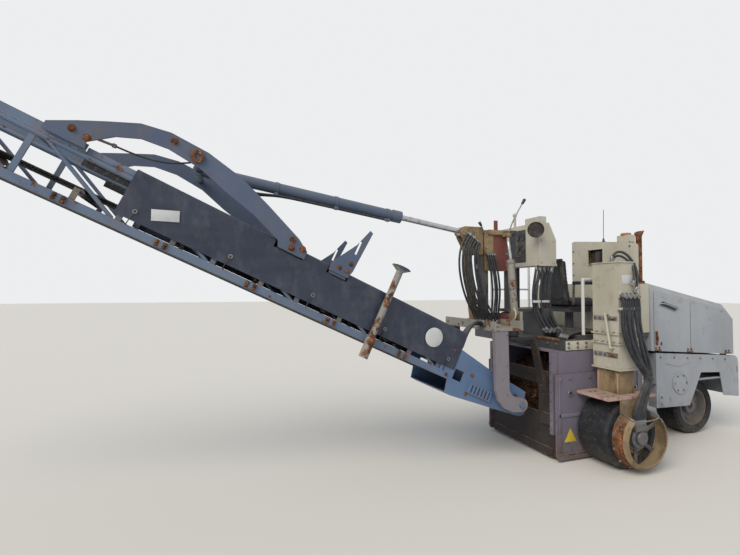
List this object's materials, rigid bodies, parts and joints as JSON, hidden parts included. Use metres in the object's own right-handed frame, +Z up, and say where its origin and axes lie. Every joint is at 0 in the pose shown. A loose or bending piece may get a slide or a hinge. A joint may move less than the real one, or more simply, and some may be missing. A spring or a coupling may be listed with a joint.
{
  "type": "cold planer milling machine",
  "caption": "Rear loading cold planer on solid tyred wheels, with a milling drum, lifting and slewing belt conveyor, operator seat and opening engine hood.",
  "frame": {"origin": "middle of the whole machine's box, on the ground", "axes": "+X to the machine's front, +Y to its left, +Z up"},
  "size_m": [9.6018, 2.0616, 3.9644],
  "materials": {
    "cream_paint": "satin",
    "dark_steel": "satin",
    "drum_plate": "satin",
    "drum_steel": "matt",
    "blue_paint": "satin",
    "red_primer": "satin",
    "leg_primer": "satin",
    "tyre_rubber": "matt",
    "belt_rubber": "matt",
    "black_vinyl": "matt",
    "seat_vinyl": "matt",
    "rod_chrome": "satin",
    "bare_steel": "satin",
    "tan_dust": "satin",
    "rusty_pipe": "matt",
    "white_rail": "satin"
  },
  "bodies": {
    "chassis": {"main_frame": "dark_steel", "drum_housing": "drum_plate", "engine": "dark_steel", "side_panels": "cream_paint", "rear_cowl": "cream_paint", "bulkhead": "cream_paint", "bumper": "cream_paint", "platform": "dark_steel", "handrails": "white_rail", "seat": "seat_vinyl", "seat_base": "dark_steel", "console": "cream_paint", "leg_boxes": "cream_paint", "front_axle": "dark_steel", "exhaust": "rusty_pipe"},
    "drum": {"drum_body": "drum_steel", "picks": "drum_steel"},
    "hood_lid": {"hood": "cream_paint"},
    "scraper_gate": {"scraper": "drum_plate"},
    "edge_plate_right": {"side_plate_right": "drum_plate"},
    "edge_plate_left": {"side_plate_left": "drum_plate"},
    "rear_leg_right": {"leg_right": "leg_primer", "motor_right": "bare_steel"},
    "rear_leg_left": {"leg_left": "leg_primer"},
    "wheel_rear_right": {"tyre_rear_right": "tyre_rubber", "rim_rear_right": "bare_steel"},
    "wheel_rear_left": {"tyre_rear_left": "tyre_rubber", "rim_rear_left": "bare_steel"},
    "steer_right": {"knuckle_right": "dark_steel"},
    "steer_left": {"knuckle_left": "dark_steel"},
    "wheel_front_right": {"tyre_front_right": "tyre_rubber", "rim_front_right": "bare_steel"},
    "wheel_front_left": {"tyre_front_left": "tyre_rubber", "rim_front_left": "bare_steel"},
    "slewing": {"slew_frame": "red_primer", "j_arms": "cream_paint", "mast": "tan_dust"},
    "conveyor": {"tail_section": "blue_paint", "truss_right": "blue_paint", "truss_left": "blue_paint", "truss_cross": "blue_paint", "belt": "belt_rubber", "idlers": "dark_steel", "cover": "black_vinyl", "arches": "blue_paint", "brackets": "tan_dust"},
    "belt_head_drum": {"head_drum": "bare_steel"},
    "belt_tail_drum": {"tail_drum": "bare_steel"},
    "lift_cylinder": {"lift_barrel": "tan_dust"},
    "lift_piston": {"lift_rod": "rod_chrome"}
  },
  "joints": [
    {"name": "drum_turn", "type": "hinge", "parent": "chassis", "child": "drum", "pos_m": [2.7559, -0.03125, 0.52], "axis": [0, 1, 0], "continuous": true},
    {"name": "hood_open", "type": "hinge", "parent": "chassis", "child": "hood_lid", "pos_m": [4.6839, 0.23875, 0.905], "axis": [0, 1, 0], "range_deg": [0, 50]},
    {"name": "scraper_raise", "type": "slide", "parent": "chassis", "child": "scraper_gate", "axis": [0, 0, 1], "range_m": [0, 0.25]},
    {"name": "edge_plate_right_float", "type": "slide", "parent": "chassis", "child": "edge_plate_right", "axis": [0, 0, 1], "range_m": [0, 0.18]},
    {"name": "edge_plate_left_float", "type": "slide", "parent": "chassis", "child": "edge_plate_left", "axis": [0, 0, 1], "range_m": [0, 0.18]},
    {"name": "leg_right_height", "type": "slide", "parent": "chassis", "child": "rear_leg_right", "axis": [0, 0, -1], "range_m": [-0.18, 0.1]},
    {"name": "leg_left_height", "type": "slide", "parent": "chassis", "child": "rear_leg_left", "axis": [0, 0, -1], "range_m": [-0.18, 0.1]},
    {"name": "wheel_rear_right_roll", "type": "hinge", "parent": "rear_leg_right", "child": "wheel_rear_right", "pos_m": [2.7059, -0.74375, 0.31], "axis": [0, 1, 0], "continuous": true},
    {"name": "wheel_rear_left_roll", "type": "hinge", "parent": "rear_leg_left", "child": "wheel_rear_left", "pos_m": [3.0059, 0.73625, 0.31], "axis": [0, 1, 0], "continuous": true},
    {"name": "steer_right_turn", "type": "hinge", "parent": "chassis", "child": "steer_right", "pos_m": [4.2759, -0.08125, 0.3], "axis": [0, 0, 1], "range_deg": [-30, 30]},
    {"name": "steer_left_turn", "type": "hinge", "parent": "chassis", "child": "steer_left", "pos_m": [4.2759, 0.55875, 0.3], "axis": [0, 0, 1], "range_deg": [-30, 30]},
    {"name": "wheel_front_right_roll", "type": "hinge", "parent": "steer_right", "child": "wheel_front_right", "pos_m": [4.2759, -0.27125, 0.3], "axis": [0, 1, 0], "continuous": true},
    {"name": "wheel_front_left_roll", "type": "hinge", "parent": "steer_left", "child": "wheel_front_left", "pos_m": [4.2759, 0.74875, 0.3], "axis": [0, 1, 0], "continuous": true},
    {"name": "conveyor_slew", "type": "hinge", "parent": "chassis", "child": "slewing", "pos_m": [2.0659, -0.03125, 1.27], "axis": [0, 0, 1], "range_deg": [-25, 25]},
    {"name": "conveyor_lift", "type": "hinge", "parent": "slewing", "child": "conveyor", "pos_m": [1.8559, -0.03125, 0.547], "axis": [0, 1, 0], "range_deg": [-10, 10]},
    {"name": "belt_head_turn", "type": "hinge", "parent": "conveyor", "child": "belt_head_drum", "pos_m": [-4.61363, -0.03125, 3.59138], "axis": [0, 1, 0], "continuous": true},
    {"name": "belt_tail_turn", "type": "hinge", "parent": "conveyor", "child": "belt_tail_drum", "pos_m": [1.97523, -0.03125, 0.51894], "axis": [0, 1, 0], "continuous": true},
    {"name": "lift_cylinder_swing", "type": "hinge", "parent": "conveyor", "child": "lift_cylinder", "pos_m": [-0.98897, -0.03125, 2.60954], "axis": [0, 1, 0], "range_deg": [-30, 30]},
    {"name": "lift_piston_slide", "type": "slide", "parent": "lift_cylinder", "child": "lift_piston", "axis": [0.9873, 0, -0.1591], "range_m": [-0.35, 0.35]}
  ],
  "couplings": [
    {"joint": "steer_left_turn", "follows": "steer_right_turn", "ratio": 1},
    {"joint": "lift_cylinder_swing", "follows": "conveyor_lift", "ratio": 0.25284},
    {"joint": "lift_piston_slide", "follows": "conveyor_lift", "m_per_rad": -1.5742}
  ]
}
